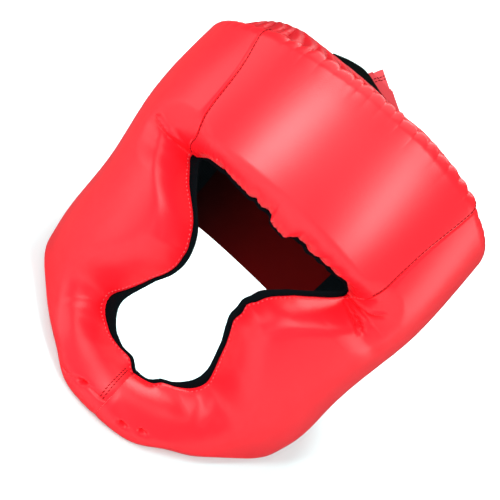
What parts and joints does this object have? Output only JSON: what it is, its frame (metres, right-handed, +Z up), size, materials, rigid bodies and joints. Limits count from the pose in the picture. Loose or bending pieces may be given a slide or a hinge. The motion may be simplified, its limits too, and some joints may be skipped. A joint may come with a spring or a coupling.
{
  "type": "kickboxing headgear",
  "caption": "Padded red leather head guard with forehead, cheek and ear padding, a chin bar, an open crown with gathered hem, black lining and a rear closing strap.",
  "frame": {"origin": "on the surface it rests on, under the middle of its outline", "axes": "+X to the wearer's left, -Y the way the face looks, +Z up; it rests on its lower rim, leaned back 24 degrees from how it is worn"},
  "size_m": [0.2353, 0.3093, 0.2341],
  "materials": {
    "red_leather": "smooth bright red synthetic leather with a soft sheen",
    "black_lining": "matt black lining cloth",
    "black_loop": "matt black loop fastener tape"
  },
  "bodies": {
    "root": {"forehead_pad": "red_leather", "forehead_lining": "black_lining", "side_pad_left": "red_leather", "side_lining_left": "black_lining", "side_pad_right": "red_leather", "side_lining_right": "black_lining", "crown_hem": "red_leather", "back_panel": "red_leather", "loop_band": "black_loop", "crown_strap": "red_leather"}
  },
  "joints": []
}
